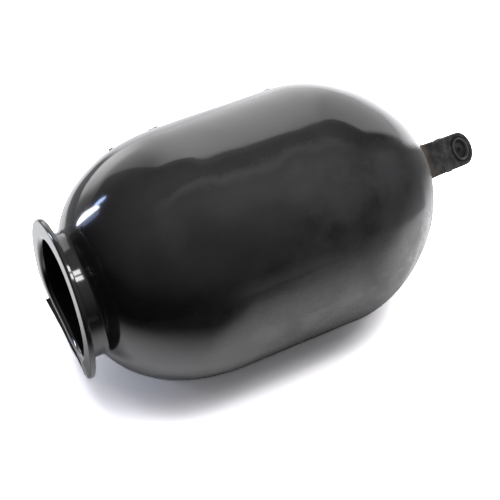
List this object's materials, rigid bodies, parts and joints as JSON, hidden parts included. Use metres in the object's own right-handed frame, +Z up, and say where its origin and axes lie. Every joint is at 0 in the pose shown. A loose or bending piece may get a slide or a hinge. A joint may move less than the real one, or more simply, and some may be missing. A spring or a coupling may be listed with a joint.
{
  "type": "pressure vessel bladder",
  "caption": "Hollow black rubber bladder with rounded heads, a flanged round mouth and a flat fixing lug, lying on its side.",
  "frame": {"origin": "centre of the mouth, on its axis, in the plane of the flange's back face", "axes": "+X along the bladder from the mouth to the tail lug, +Z up as it lies on its belly"},
  "size_m": [0.3603, 0.186, 0.1835],
  "materials": {
    "bladder_rubber": "glossy"
  },
  "bodies": {
    "root": {"bladder": "bladder_rubber"}
  },
  "joints": []
}
